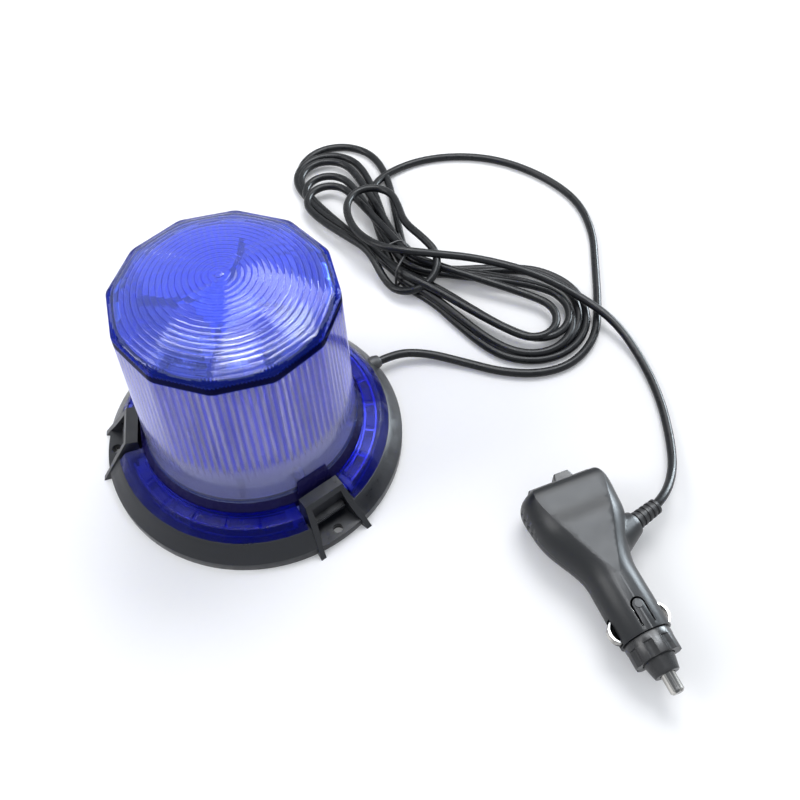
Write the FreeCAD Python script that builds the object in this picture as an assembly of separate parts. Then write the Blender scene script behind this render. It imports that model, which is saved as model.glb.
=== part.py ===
import FreeCAD, Part
import math
import os

# LED warning beacon with a twelve-sided blue lens, three mounting lugs and a 12 V plug on a tied cord.
# Millimetres. Origin at the centre of the base's underside, +Z up, the front of the photograph at -Y.

V = FreeCAD.Vector
UP = V(0, 0, 1)

# Clearances
fit = 0.1
gap = 0.4
slide_gap = 0.3

# Base ring
base_r = 65.0
base_rim_h = 4.5
base_wall = 2.4
slope_run = 5.8
land_z = 12.0
land_width = 2.8
gasket_width = 1.2
gasket_depth = 1.0
base_bore_r = base_r - base_wall
land_r = base_r - slope_run
land_in_r = land_r - land_width

# Lens, from its foot on the land up to the dome
lens_wall = 2.2
lens_step = 0.2
chamfer_run = 3.4
chamfer_rise = 5.0
window_run = 7.5
window_rise = 1.0
riser_run = 2.7
riser_rise = 4.0
flange_thin = 0.6
wall_lean = 2.4
wall_rise = 75.0
rim_sides = 12
rim_corner_r = 7.0
dome_rise = 9.5
ring_count = 15
ring_depth = 0.3
ring_slope = 0.25
ring_boss_r = 1.6
notch_wall = 1.8
lens_foot_r = land_r - lens_step
flange_edge_r = lens_foot_r - chamfer_run
flange_edge_z = land_z + chamfer_rise
flange_in_r = flange_edge_r - window_run
flange_in_z = flange_edge_z + window_rise
wall_foot_r = flange_in_r - riser_run
wall_foot_z = flange_in_z + riser_rise
rim_r = wall_foot_r - wall_lean
rim_z = wall_foot_z + wall_rise

# Lugs, 120 degrees apart
lug_count = 3
lug_angle = -51.5
lug_height = 21.0
lug_bar = 5.0
lug_overhang = 2.5
lug_half_top = 9.2
lug_spread = 3.8
lug_back_spread = 1.0
lug_wall = 2.0
lug_pocket_spread = 0.6
lug_floor_z = 4.4
lug_hole_inset = 3.6
lug_hole_r = 2.1
lug_root = 4.0
lug_inner_p = flange_in_r + gap
lug_outer_p = base_r + lug_overhang
lug_root_p = lug_inner_p + lug_root
lug_hole_p = base_r - lug_hole_inset
lug_half_foot = lug_half_top + lug_spread
lug_angles = [lug_angle + 360.0 / lug_count * k for k in range(lug_count)]

# Screw bosses of the lens behind the lugs, on ears of the base
boss_rise = 7.0
boss_taper = 1.8
boss_wall = 2.7
ear_thick = 2.4
ear_root = 1.0
lens_screw_inset = 2.8
lens_screw_p = flange_in_r - lens_screw_inset
boss_p_in = lens_screw_p - boss_wall
boss_top_z = lug_height + boss_rise
boss_half_foot = lug_half_top - gap
boss_half_top = boss_half_foot - boss_taper

# Bottom cover, magnet and pad
cover_thick = 2.2
cover_screw_inset = 3.8
cover_boss_r = 2.9
magnet_r = 20.0
magnet_bore_r = 4.0
magnet_thick = 3.2
magnet_roof = 1.2
hub_wall = 2.0
pad_margin = 4.0
pad_thick = 0.6
post_r = 3.0
post_room = 5.0
cover_r = base_bore_r - fit
cover_screw_p = base_bore_r - cover_screw_inset
pad_r = magnet_r + pad_margin
post_p = magnet_r + hub_wall + post_room + post_r
boss_angles = [a + 180.0 / lug_count for a in lug_angles]

# Screws
screw_r = 1.25
screw_head_r = 2.2
screw_head_h = 1.6
pilot_depth = 9.0

# Main board
board_thick = 1.6
board_room = 1.0
board_edge_room = 2.4
wire_hole_r = 4.0
led_size = 3.5
led_height = 1.2
board_r = land_in_r - board_edge_room
board_top = land_z - ear_thick - board_room
board_z = board_top - board_thick

# Flange reflectors under the windows
window_count = 24
pocket_inset = 1.1
pocket_edge = 1.0
pocket_wall = 0.8
pocket_height = 5.4
pocket_r_in = flange_in_r + pocket_inset
pocket_r_out = board_r - pocket_edge

# Reflector tower
fin_count = 4
fin_room = 11.0
fin_tip = 2.0
bay_depth_r = 10.0
bay_facets = 5
tower_room = 6.0
tower_bore_r = 4.0
tower_roof = 3.0
fin_turn = 17.0
tower_screw_p = 10.0
strip_thick = 1.2
strip_lift = 7.4
strip_head_room = 15.0
strip_leds = 6
fin_r = rim_r - fin_room
tower_top_z = rim_z - tower_room
strip_foot_z = board_top + strip_lift
strip_length = tower_top_z - strip_head_room - strip_foot_z
fin_angle = lug_angles[1] + fin_turn
fin_angles = [fin_angle + 360.0 / fin_count * k for k in range(fin_count)]
bay_angles = [a + 180.0 / fin_count for a in fin_angles]

# Driver parts on the main board
coil_r = 5.0
coil_h = 6.0
can_r = 3.2
can_h = 8.0
can_turn = 7.0
chip_size = 7.0
chip_h = 1.2
driver_inset = 12.0
driver_p = board_r - driver_inset

# Cord and its grommet
cord_d = 4.0
exit_angle = 35.4
grommet_wall = 1.5
grommet_nose_wall = 0.8
grommet_nose = 2.5
grommet_back = 5.1
grommet_reach = 1.5
cord_reach = 4.5
cord_r = cord_d / 2
grommet_r = cord_r + grommet_wall
grommet_nose_r = cord_r + grommet_nose_wall
grommet_in = base_bore_r - grommet_back
grommet_out = base_r + grommet_reach
exit_z = cover_thick + grommet_r + slide_gap

# Hank and its tie, placed from a point on the cord just outside the grommet
tie_offset = (9.35, 56.24)
tie_turn = 65.0
tie_half = 9.0
tie_height = 14.0
tie_length = 9.0
tie_wire = 1.2
lobe_height = 9.0
far_lobe_offset = (-24.65, 130.24)
far_lobe_r = 24.0
near_lobe_offset = (66.85, 33.24)
near_lobe_r = 31.0

# Plug, placed from the same point, with lengths from its rear face along its axis
plug_angle = -67.5
plug_offset = (74.05, -74.74)
plug_axis_z = 12.0
plug_wall = 1.8
head_len = 44.5
neck_len = 24.0
shell_r = 10.5
head_half_h = 12.0
head_half_w = 20.0
panel_half_w = 15.2
# Along the head: shares of its length, half width, half height and of the flat panel's half width
head_form = [(0.0, 0.88, 0.83, 0.89), (0.05, 0.965, 0.975, 0.99), (0.135, 1.0, 1.0, 1.0),
             (0.415, 0.96, 1.0, 0.75), (0.56, 0.86, 0.975, 0.58), (0.785, 0.63, 0.91, 0.3)]
neck_flat = 0.3
groove_count = 5
groove_r = 1.2
groove_depth = 0.7
groove_first = 4.0
groove_pitch = 3.2
plate_margin = 3.6
plate_half_h = 5.0
plate_proud = 2.5
plate_thick = 3.4
knob_half_w = 4.6
knob_taper = 1.2
knob_half_h = 3.0
knob_proud = 3.7
knob_travel = 6.8
stem_half_w = 2.5
stem_half_h = 1.3
foot_thick = 1.0
foot_half_h = 2.6
switch_deep = 6.0
switch_height = 7.0
shell_screw_back = 26.0
shell_screw_inset = 7.8
shell_screw_sink = 5.0
shell_screw_bite = 6.0
shell_boss_r = 2.9
plug_board_room = 1.3
plug_board_short = 10.0
plug_board_thick = 1.4
plug_board_z = -4.0
spigot_step = 3.1
spigot_len = 5.0
cap_step = 0.9
cap_len = 9.0
cap_flutes = 8
cap_flute_r = 2.6
cap_flute_depth = 1.0
collar_step = 1.0
collar_taper = 1.4
collar_len = 6.0
collar_lip = 1.6
collar_flange = 1.4
tip_r = 2.8
tip_flange_r = 4.4
tip_flange_len = 1.6
tip_reach = 7.4
tip_bevel = 0.8
fuse_r = 3.0
fuse_len = 24.0
spring_r = 2.6
spring_wire = 0.5
spring_len = 9.0
contact_back = 5.7
contact_half = 5.1
contact_bow = 2.3
contact_thick = 0.8
contact_half_h = 2.0
tongue_back = 2.0
tongue_len = 11.0
tongue_half = 3.0
tongue_slot = 0.8
dimple_r = 1.5
dimple_proud = 0.4
boot_back = 16.0
boot_y = 7.0
boot_turn = 104.5
boot_tip_wall = 1.2
boot_flare = 4.4
boot_len = 14.0
relief_wall = 1.4
relief_tip_wall = 0.9
relief_len = 13.0
relief_root = 5.0
relief_root_step = 0.6
relief_ribs = 5
relief_rib = 0.5
relief_rib_w = 1.2
relief_bore = 6.0
shell_end = head_len + neck_len
plate_half_w = head_half_w * head_form[0][1] - plate_margin
knob_rest = knob_travel / 2
shell_screw_x = head_len - shell_screw_back
shell_screw_y = head_half_w - shell_screw_inset
plug_board_half = shell_screw_y - shell_boss_r - plug_board_room
plug_board_len = head_len - plug_board_short
switch_half_w = plug_board_half
spigot_r = shell_r - spigot_step
cap_r = shell_r - cap_step
collar_r = spigot_r - collar_step
collar_tip_r = collar_r - collar_taper
cap_front = shell_end + fit + cap_len
tip_end = cap_front + collar_len + tip_reach
groove_p = head_half_w + groove_r - groove_depth
contact_x = shell_end - contact_back
tongue_front = shell_end - tongue_back
tongue_rear = tongue_front - tongue_len
boot_x = head_len - boot_back
relief_r = cord_r + relief_wall
relief_tip_r = cord_r + relief_tip_wall
relief_root_r = relief_r + relief_root_step
boot_tip_r = relief_root_r + boot_tip_wall
boot_root_r = boot_tip_r + boot_flare


# Shape helpers

def polar(r, angle, z=0.0):
    a = math.radians(angle)
    return V(r * math.cos(a), r * math.sin(a), z)


def turned(shape, angle):
    copy = shape.copy()
    copy.rotate(V(0, 0, 0), UP, angle)
    return copy


def cylinder(r, h, at, along=UP):
    return Part.makeCylinder(r, h, at, along)


def tube(r_out, r_in, h, at, along=UP):
    return cylinder(r_out, h, at, along).cut(cylinder(r_in, h, at, along))


def block(x0, x1, y0, y1, z0, z1):
    return Part.makeBox(x1 - x0, y1 - y0, z1 - z0, V(x0, y0, z0))


def polygon(points):
    return Part.makePolygon(list(points) + [points[0]])


def revolved(profile):
    wire = polygon([V(r, 0, z) for r, z in profile])
    return Part.Face(wire).revolve(V(0, 0, 0), UP, 360)


def wedge(foot, z0, top, z1):
    """Block between two quads, each given as (p inner, p outer, half width inner, half width outer)."""
    wires = []
    for (p0, p1, q0, q1), z in ((foot, z0), (top, z1)):
        wires.append(polygon([V(p0, -q0, z), V(p1, -q1, z), V(p1, q1, z), V(p0, q0, z)]))
    return Part.makeLoft(wires, True, True)


def fused(shapes):
    first = shapes[0]
    return first.fuse(shapes[1:]).removeSplitter() if len(shapes) > 1 else first


def screw(at, length, along=UP):
    """Head below the point at, shank from it along the given direction."""
    head = cylinder(screw_head_r, screw_head_h, at - along * screw_head_h, along)
    return head.fuse(cylinder(screw_r, length, at, along)).removeSplitter()


def save(name, shape):
    solids = shape.Solids
    whole = solids[0] if len(solids) == 1 else Part.makeCompound(solids)
    if not whole.isValid() or not solids:
        print("check", name, "valid", whole.isValid(), "solids", len(solids))
    whole.exportStep("parts/" + name + ".step")


# Base housing with its lugs

def sloped_wall_inside():
    """Where the inner face of the sloped wall meets the land's underside and the straight skirt."""
    run = base_r - land_r
    rise = land_z - base_rim_h
    long = math.hypot(run, rise)
    shift = base_wall * long / rise
    under = land_z - base_wall
    r_top = base_r - shift - run * (under - base_rim_h) / rise
    z_low = base_rim_h - (shift - base_wall) * rise / run
    return r_top, under, z_low


def lug_outside(grow=0.0):
    top = lug_half_top + grow
    return wedge((lug_inner_p - grow, lug_outer_p + grow, top + lug_back_spread, lug_half_foot + grow), 0.0,
                 (lug_inner_p - grow, lug_inner_p + lug_bar + grow, top, top), lug_height + grow)


def lug_pocket():
    """Room above the lug's floor and in front of the base's rim, and the screw hole."""
    back = lug_root_p + lug_wall
    beyond = lug_outer_p + lug_bar
    half_top = lug_half_top - lug_wall
    half_foot = lug_half_foot - lug_wall
    foot = (back, beyond, half_top + lug_pocket_spread, half_foot + lug_pocket_spread)
    room = wedge(foot, lug_floor_z, (back, beyond, half_top, half_top), lug_height - lug_wall)
    front = wedge(foot, 0.0, foot, lug_floor_z).cut(cylinder(base_r, lug_floor_z, V(0, 0, 0)))
    return room.fuse([front, cylinder(lug_hole_r, lug_height, V(lug_hole_p, 0, 0))])


def lug():
    """Hollow wedge with an open front, a flat floor and a screw hole."""
    body = lug_outside().cut(lug_pocket())
    body = body.cut(cylinder(base_bore_r, cover_thick + fit, V(0, 0, 0)))
    return body.cut(cylinder(lug_root_p, land_z - ear_thick, V(0, 0, 0)))


def make_base_housing():
    r_top, under, z_low = sloped_wall_inside()
    ring = revolved([(base_r, 0), (base_r, base_rim_h), (land_r, land_z), (land_in_r, land_z),
                     (land_in_r, under), (r_top, under), (base_bore_r, z_low), (base_bore_r, 0)])
    pieces = [ring]
    ear = block(boss_p_in, land_in_r + ear_root, -boss_half_top, boss_half_top,
                land_z - ear_thick, land_z)
    for a in lug_angles:
        pieces[0] = pieces[0].cut(turned(lug_pocket(), a))
        pieces.append(turned(lug(), a))
        pieces.append(turned(ear, a))
    boss = cylinder(cover_boss_r, under - cover_thick - fit, V(cover_screw_p, 0, cover_thick + fit))
    inside = revolved([(0, 0), (base_r, 0), (base_r, base_rim_h), (land_r, land_z), (0, land_z)])
    for a in boss_angles:
        pieces.append(turned(boss.common(inside), a))
    housing = fused(pieces)
    for a in boss_angles:
        pilot = cylinder(screw_r, land_z / 2 - cover_thick, V(cover_screw_p, 0, cover_thick))
        housing = housing.cut(turned(pilot, a))
    for a in lug_angles:
        housing = housing.cut(turned(cylinder(screw_r + fit, land_z, V(lens_screw_p, 0, 0)), a))
    groove_r = (land_r + land_in_r) / 2
    housing = housing.cut(tube(groove_r + gasket_width / 2, groove_r - gasket_width / 2, gasket_depth,
                               V(0, 0, land_z - gasket_depth)))
    hole = cylinder(grommet_r + fit, base_r, polar(base_bore_r / 2, exit_angle, exit_z), polar(1, exit_angle))
    return housing.cut(hole)


def make_lens_gasket():
    middle = (land_r + land_in_r) / 2
    half = gasket_width / 2
    ring = tube(middle + half, middle - half, gasket_depth, V(0, 0, land_z - gasket_depth))
    for a in lug_angles:
        ring = ring.cut(turned(lug_outside(gap), a))
    return ring


# Bottom cover with its magnet, pad and screws

def make_bottom_cover():
    hub_r = magnet_r + hub_wall
    hub_top = pad_thick + magnet_thick + magnet_roof
    cover = fused([cylinder(cover_r, cover_thick, V(0, 0, 0)), cylinder(hub_r, hub_top, V(0, 0, 0))]
                  + [cylinder(post_r, board_z, polar(post_p, a)) for a in bay_angles])
    cover = cover.cut(cylinder(pad_r + fit, pad_thick, V(0, 0, 0)))
    cover = cover.cut(tube(magnet_r + fit, magnet_bore_r - fit, magnet_thick, V(0, 0, pad_thick)))
    for a in bay_angles:
        cover = cover.cut(cylinder(screw_r, board_z - cover_thick, polar(post_p, a, cover_thick)))
    for a in boss_angles:
        cover = cover.cut(cylinder(screw_r + fit, cover_thick, polar(cover_screw_p, a)))
        cover = cover.cut(cylinder(screw_head_r + fit, screw_head_h, polar(cover_screw_p, a)))
    for a in lug_angles:
        cover = cover.cut(cylinder(lug_hole_r + gap, cover_thick, polar(lug_hole_p, a)))
    return cover


def make_cover_screws():
    return Part.makeCompound([screw(polar(cover_screw_p, a, screw_head_h), land_z / 2 - screw_head_h - fit)
                              for a in boss_angles])


# Main board and what it carries

def make_main_board():
    board = cylinder(board_r, board_thick, V(0, 0, board_z))
    board = board.cut(cylinder(wire_hole_r, board_thick, V(0, 0, board_z)))
    lug_face = math.sqrt(lug_root_p ** 2 - lug_half_foot ** 2)
    notch = block(lug_face - gap, base_r, -lug_half_foot - gap, lug_half_foot + gap, board_z, board_top)
    for a in lug_angles:
        board = board.cut(turned(notch, a))
        board = board.cut(cylinder(screw_head_r + gap, board_thick, polar(lens_screw_p, a, board_z)))
    for p, angles in ((post_p, bay_angles), (tower_screw_p, fin_angles)):
        for a in angles:
            board = board.cut(cylinder(screw_r + fit, board_thick, polar(p, a, board_z)))
    return board


def make_board_screws():
    down = V(0, 0, -1)
    reach = board_top - cover_thick - fit
    return Part.makeCompound([screw(polar(post_p, a, board_top), reach, down) for a in bay_angles])


def window_angles():
    """Middles of the flange windows that stand clear of the lugs."""
    pitch = 360.0 / window_count
    blocked = math.degrees(math.asin((lug_half_foot + notch_wall + led_size / 2) / pocket_r_in))
    angles = [lug_angle + pitch * (k + 0.5) for k in range(window_count)]
    return [a for a in angles if min(abs((a - b + 180) % 360 - 180) for b in lug_angles) > blocked]


def make_flange_leds():
    r = (pocket_r_in + pocket_r_out) / 2
    half = led_size / 2
    chip = block(r - half, r + half, -half, half, board_top, board_top + led_height)
    return Part.makeCompound([turned(chip, a) for a in window_angles()])


def make_flange_reflectors():
    """Pocketed rings between the lugs, one per side."""
    pitch = 360.0 / window_count
    at = V(0, 0, board_top)
    walls = [tube(pocket_r_in, pocket_r_in - pocket_wall, pocket_height, at),
             tube(pocket_r_out + pocket_wall, pocket_r_out, pocket_height, at)]
    half_wall = pocket_wall / 2
    rib = block(pocket_r_in - half_wall, pocket_r_out + half_wall, -half_wall, half_wall,
                board_top, board_top + pocket_height)
    walls += [turned(rib, lug_angle + pitch * k) for k in range(window_count)]
    ring = fused(walls)
    half = lug_half_foot + notch_wall + gap
    slot = block(boss_p_in, board_r + lug_bar, -half, half, board_z, land_z + lug_height)
    for a in lug_angles:
        ring = ring.cut(turned(slot, a))
    return ring.Solids


def make_driver_parts():
    coil = tube(coil_r, coil_r / 3, coil_h, polar(driver_p, boss_angles[0], board_top))
    cans = [cylinder(can_r, can_h, polar(driver_p, boss_angles[1] + turn, board_top))
            for turn in (-can_turn, can_turn)]
    half = chip_size / 2
    chip = block(driver_p - half, driver_p + half, -half, half, board_top, board_top + chip_h)
    return coil, Part.makeCompound(cans), turned(chip, boss_angles[2])


# Reflector tower with an LED strip in each bay

def turned_point(point, angle):
    return FreeCAD.Rotation(UP, angle).multVec(point)


def bay_points():
    """Corners of one bay's facets, drawn with the bay along +X, on a circle through both fin tips."""
    tip = turned_point(V(fin_r, -fin_tip / 2, 0), 180.0 / fin_count)
    reach = tip.x - bay_depth_r
    r = (reach ** 2 + tip.y ** 2) / (2 * reach)
    middle = bay_depth_r + r
    half = math.atan2(tip.y, middle - tip.x)
    turns = [half * (2 * k / bay_facets - 1) for k in range(bay_facets + 1)]
    return [V(middle - r * math.cos(t), r * math.sin(t), board_top) for t in turns]


def bay_floor():
    """Distance from the axis to the flat facet in the middle of a bay, and half that facet's width."""
    point = min(bay_points(), key=lambda p: (round(p.x, 6), p.y))
    return point.x, abs(point.y)


def make_reflector_tower():
    corners = []
    for a in bay_angles:
        corners += [turned_point(point, a) for point in bay_points()]
    height = tower_top_z - board_top
    star = Part.Face(polygon(corners)).extrude(V(0, 0, height))
    star = star.cut(cylinder(tower_bore_r, height - tower_roof, V(0, 0, board_top)))
    for a in fin_angles:
        star = star.cut(cylinder(screw_r, pilot_depth, polar(tower_screw_p, a, board_top)))
    return star


def make_tower_screws():
    reach = board_thick + pilot_depth - fit
    return Part.makeCompound([screw(polar(tower_screw_p, a, board_z), reach) for a in fin_angles])


def strip(angle):
    back, half_facet = bay_floor()
    half = half_facet - gap
    board = block(back, back + strip_thick, -half, half, strip_foot_z, strip_foot_z + strip_length)
    return turned(board, angle)


def strip_chips(angle):
    face = bay_floor()[0] + strip_thick
    half = led_size / 2
    pitch = strip_length / strip_leds
    chips = []
    for k in range(strip_leds):
        z = strip_foot_z + pitch * (k + 0.5)
        chips.append(turned(block(face, face + led_height, -half, half, z - half, z + half), angle))
    return chips


# Lens

def rim_wire(r, corner, z):
    """Twelve-sided wire with rounded corners, and the polar angles of its edge ends."""
    step = 360.0 / rim_sides
    apothem = r * math.cos(math.radians(step / 2))
    half_side = apothem * math.tan(math.radians(step / 2)) - corner * math.tan(math.radians(step / 2))
    spread = math.degrees(math.atan2(half_side, apothem))
    flat_r = math.hypot(half_side, apothem)
    nose_r = (apothem - corner) / math.cos(math.radians(step / 2)) + corner
    edges = []
    for k in range(rim_sides):
        middle = step * (k + 0.5)
        start = polar(flat_r, middle - spread, z)
        end = polar(flat_r, middle + spread, z)
        following = polar(flat_r, middle + step - spread, z)
        edges.append(Part.LineSegment(start, end).toShape())
        edges.append(Part.Arc(end, polar(nose_r, middle + step / 2, z), following).toShape())
    return Part.Wire(edges), spread


def circle_wire(r, spread, z):
    """Circle cut at the same angles as the twelve-sided wire."""
    step = 360.0 / rim_sides
    edges = []
    for k in range(rim_sides):
        middle = step * (k + 0.5)
        for a0, a1 in ((middle - spread, middle + spread), (middle + spread, middle + step - spread)):
            edges.append(Part.Arc(polar(r, a0, z), polar(r, (a0 + a1) / 2, z), polar(r, a1, z)).toShape())
    return Part.Wire(edges)


def lens_wall_solid(inset):
    rim, spread = rim_wire(rim_r - inset, rim_corner_r - inset, rim_z)
    foot = circle_wire(wall_foot_r - inset, spread, wall_foot_z)
    return Part.makeLoft([foot, rim], True, True)


def dome_height(r):
    ball = (rim_r ** 2 + dome_rise ** 2) / (2 * dome_rise)
    return rim_z + dome_rise - ball + math.sqrt(ball ** 2 - r ** 2)


def dome_solid(inset):
    """Shallow dome over the rim, ringed on the outside and smooth on the inside."""
    rings = ring_count if inset == 0 else ring_count // 2
    depth = ring_depth if inset == 0 else 0.0
    pitch = (rim_r - ring_boss_r) / rings
    profile = [(0, rim_z), (rim_r + pitch, rim_z - inset / 2)]
    for k in range(rings, -1, -1):
        r = ring_boss_r + pitch * k
        profile.append((r, dome_height(r) - inset))
        if depth and k:
            profile.append((r - pitch * ring_slope, dome_height(r) - inset - depth))
    profile.append((0, dome_height(0) - inset))
    rim = rim_wire(rim_r - inset, rim_corner_r - inset, rim_z)[0]
    column = Part.Face(rim).extrude(V(0, 0, dome_rise * 2))
    return revolved(profile).common(column)


def make_lens():
    under = land_z - lens_wall
    outside = revolved([(0, land_z), (lens_foot_r, land_z), (flange_edge_r, flange_edge_z),
                        (flange_in_r, flange_in_z), (wall_foot_r, wall_foot_z), (0, wall_foot_z)])
    inside = revolved([(0, under), (lens_foot_r - lens_wall, under), (lens_foot_r - lens_wall, land_z),
                       (flange_edge_r - lens_wall * flange_thin, flange_edge_z - lens_wall),
                       (flange_in_r - lens_wall * flange_thin, flange_in_z - lens_wall),
                       (wall_foot_r - lens_wall, wall_foot_z), (0, wall_foot_z)])
    shell = fused([outside, lens_wall_solid(0), dome_solid(0)])
    shell = shell.cut(fused([inside, lens_wall_solid(lens_wall), dome_solid(lens_wall)]))
    lining = lug_outside(gap + notch_wall).common(outside)
    boss = wedge((boss_p_in, lug_inner_p - gap, boss_half_foot, boss_half_foot), land_z,
                 (boss_p_in, wall_foot_r, boss_half_top, boss_half_top), boss_top_z)
    pilot = cylinder(screw_r, pilot_depth, V(lens_screw_p, 0, land_z))
    for a in lug_angles:
        shell = shell.fuse([turned(lining, a), turned(boss, a)])
    shell = shell.removeSplitter()
    for a in lug_angles:
        shell = shell.cut(turned(lug_outside(gap), a))
        shell = shell.cut(turned(pilot, a))
    return shell


def make_lens_screws():
    reach = ear_thick + pilot_depth - fit
    return Part.makeCompound([screw(polar(lens_screw_p, a, land_z - ear_thick), reach) for a in lug_angles])


# Cord: grommet, lead, hank, tie and tail

def make_grommet():
    along = polar(1, exit_angle)
    length = grommet_out - grommet_nose - grommet_in
    body = cylinder(grommet_r, length, polar(grommet_in, exit_angle, exit_z), along)
    nose = Part.makeCone(grommet_r, grommet_nose_r, grommet_nose,
                         polar(grommet_out - grommet_nose, exit_angle, exit_z), along)
    bore = cylinder(cord_r, grommet_out, polar(grommet_in, exit_angle, exit_z), along)
    return body.fuse(nose).removeSplitter().cut(bore)


def cord_tube(name, points):
    """Round tube along straight runs joined by tangent arcs, as large as the runs allow."""
    edges = []
    start = points[0]
    radii = []
    for before, corner, after in zip(points, points[1:], points[2:]):
        into = (before - corner).normalize()
        out = (after - corner).normalize()
        turn = math.pi - into.getAngle(out)
        reach = 0.45 * min((before - corner).Length, (after - corner).Length)
        radius = reach / math.tan(turn / 2)
        radii.append(radius)
        bisector = (into + out).normalize()
        middle = corner + bisector * (radius / math.cos(turn / 2) - radius)
        first = corner + into * reach
        last = corner + out * reach
        edges.append(Part.LineSegment(start, first).toShape())
        edges.append(Part.Arc(first, middle, last).toShape())
        start = last
    edges.append(Part.LineSegment(start, points[-1]).toShape())
    path = Part.Wire(edges)
    ring = Part.Wire(Part.makeCircle(cord_r, points[0], points[1] - points[0]))
    body = path.makePipeShell([ring], True, False, 2)
    section = math.pi * cord_r ** 2
    print(name, "length", round(path.Length, 1), "volume over section", round(body.Volume / section, 1))
    print(name, "radii", [round(r) for r in radii])
    return body


def laid(points):
    """Points given from a place on the cord just outside the grommet, with their heights."""
    mouth = polar(base_r + cord_reach, exit_angle)
    return [mouth + V(*point) for point in points]


lead_start = polar(grommet_in, exit_angle, exit_z)
lead_out = polar(base_r + cord_reach + cord_d, exit_angle, exit_z)
lead_points = [lead_start, lead_out] + laid([
    (19.35, 4.74, 3.6), (37.35, 0.24, 2.1), (55.35, -5.66, 2.0), (73.85, -6.86, 2.1),
    (90.35, -0.26, 2.0), (102.35, 15.74, 2.1), (105.95, 37.74, 2.0), (107.75, 62.74, 2.1),
    (109.55, 87.74, 2.0), (103.85, 111.74, 2.1), (86.35, 131.24, 2.0), (62.35, 144.74, 2.1),
    (36.35, 147.74, 2.0), (11.35, 141.24, 2.1), (-9.65, 122.74, 3.0)])
tail_points = laid([
    (21.35, 61.74, 12.0), (47.35, 59.24, 11.4), (74.35, 48.24, 11.6), (97.35, 35.24, 7.6),
    (111.85, 21.74, 6.0), (122.35, 1.74, 2.3), (127.35, -20.26, 2.0), (128.15, -42.26, 2.4),
    (125.85, -61.26, 4.4)])
tie_place, far_lobe, near_lobe = laid([tie_offset, far_lobe_offset, near_lobe_offset])
plug_rear = laid([plug_offset])[0] + UP * plug_axis_z


def tangents(point, middle, r):
    """The two points where lines from a point touch a circle."""
    to = point - middle
    spread = math.degrees(math.acos(r / to.Length))
    facing = math.degrees(math.atan2(to.y, to.x))
    return [middle + polar(r, facing + s * spread) for s in (1, -1)]


def lobe(middle, r, side_a, side_b):
    """Teardrop from the tie round a circle."""
    far = middle + (middle - tie_place).normalize() * r
    options = [(a, b) for a in tangents(side_a, middle, r) for b in tangents(side_b, middle, r)]
    touch_a, touch_b = max(options, key=lambda pair: (pair[0] - pair[1]).Length)
    edges = [Part.LineSegment(side_b, side_a).toShape(), Part.LineSegment(side_a, touch_a).toShape(),
             Part.Arc(touch_a, far, touch_b).toShape(), Part.LineSegment(touch_b, side_b).toShape()]
    return Part.Face(Part.Wire(edges)).extrude(V(0, 0, lobe_height))


def at_tie(shape):
    shape.rotate(V(0, 0, 0), UP, tie_turn - 90)
    shape.translate(tie_place)
    return shape


def make_hank():
    across = polar(tie_half, tie_turn)
    waist = at_tie(block(-tie_length / 2, tie_length / 2, -tie_half, tie_half, 0, tie_height))
    sides = (tie_place + across, tie_place - across)
    return fused([waist, lobe(far_lobe, far_lobe_r, *sides), lobe(near_lobe, near_lobe_r, *sides)])


def make_twist_tie():
    wide = tie_half + tie_wire
    outer = block(-tie_wire / 2, tie_wire / 2, -wide, wide, 0, tie_height + tie_wire)
    inner = block(-tie_wire, tie_wire, -tie_half, tie_half, tie_wire, tie_height)
    ears = [block(-tie_wire / 2, tie_wire / 2, y, y + tie_wire, tie_height, tie_height + tie_wire * 3)
            for y in (tie_half - 2 * tie_wire, tie_half)]
    return at_tie(fused([outer.cut(inner)] + ears))


# Plug, drawn along +X from its rear face with its axis on the X axis

def placed(shape):
    shape.rotate(V(0, 0, 0), UP, plug_angle)
    shape.translate(plug_rear)
    return shape


def section(x, half_w, half_h, half_flat):
    """Outline across the plug: flat top and bottom, and sides that bow out between them."""
    lean = half_w - half_flat
    r = (lean ** 2 + half_h ** 2) / (2 * lean)
    middle = half_w - r
    turn = math.atan2(half_h, half_flat - middle) / 2
    side_y = middle + r * math.cos(turn)
    side_z = r * math.sin(turn)
    edges = []
    for s in (1, -1):
        top = V(x, s * half_flat, s * half_h)
        edges.append(Part.LineSegment(V(x, -s * half_flat, s * half_h), top).toShape())
        widest = V(x, s * half_w, 0)
        low = V(x, s * half_flat, -s * half_h)
        edges.append(Part.Arc(top, V(x, s * side_y, s * side_z), widest).toShape())
        edges.append(Part.Arc(widest, V(x, s * side_y, -s * side_z), low).toShape())
    return Part.Wire(edges)


def plug_form(inset):
    """Wide head with a flat panel that narrows to the round shell."""
    r = shell_r - inset
    neck = (r, r, neck_flat)
    stations = []
    for along, wide, high, flat in head_form:
        x = head_len * along if along else inset
        flat_inset = inset * panel_half_w / head_half_w
        stations.append(section(x, head_half_w * wide - inset, head_half_h * high - inset,
                                panel_half_w * flat - flat_inset))
    if inset:
        stations.pop(1)
    head = Part.makeLoft(stations + [section(head_len, *neck)], True, False)
    shell = Part.makeLoft([section(head_len, *neck), section(shell_end, *neck)], True, True)
    return fused([head, shell])


def boot_axis():
    return polar(1, boot_turn)


def boot_point(along):
    return V(boot_x, boot_y, 0) + boot_axis() * along


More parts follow.
